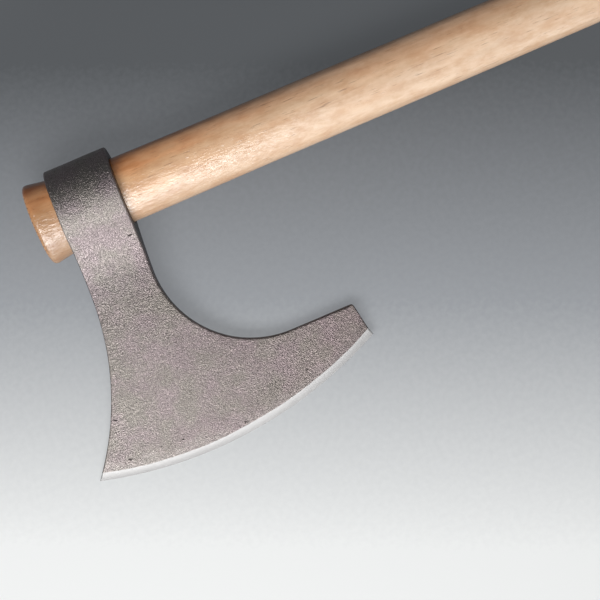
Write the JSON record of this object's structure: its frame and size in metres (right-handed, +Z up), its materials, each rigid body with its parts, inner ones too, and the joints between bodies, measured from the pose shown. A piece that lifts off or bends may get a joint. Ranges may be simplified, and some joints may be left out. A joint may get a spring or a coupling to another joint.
{
  "type": "bearded broad axe",
  "caption": "Bearded axe: a forged steel head with a hooked beard and an arched edge, slipped onto a flared oval hickory haft and lying on its side.",
  "frame": {"origin": "centre of the bounding box's bottom, on the surface that the axe lies on", "axes": "+X along the haft towards the head and its flared top end, +Y across the haft towards the cutting edge, +Z up out of the upper cheek; the blade leans 6.8 degrees down from level, as it rests on the eye's lower cheek and the bevel's lower shoulder"},
  "size_m": [0.7844, 0.1692, 0.0368],
  "materials": {
    "forged_steel": "forged and blasted grey-brown steel with a fine leathery grain, matt clear lacquer, bright ground bevel along the edge",
    "hickory": "pale straight-grained hickory under gloss lacquer, bare darker end grain"
  },
  "bodies": {
    "haft": {"haft": "hickory"},
    "head": {"axe_head": "forged_steel"}
  },
  "joints": [
    {"name": "head_slide", "type": "slide", "parent": "haft", "child": "head", "axis": [-1, 0, 0], "range_m": [0, 0.755]}
  ]
}
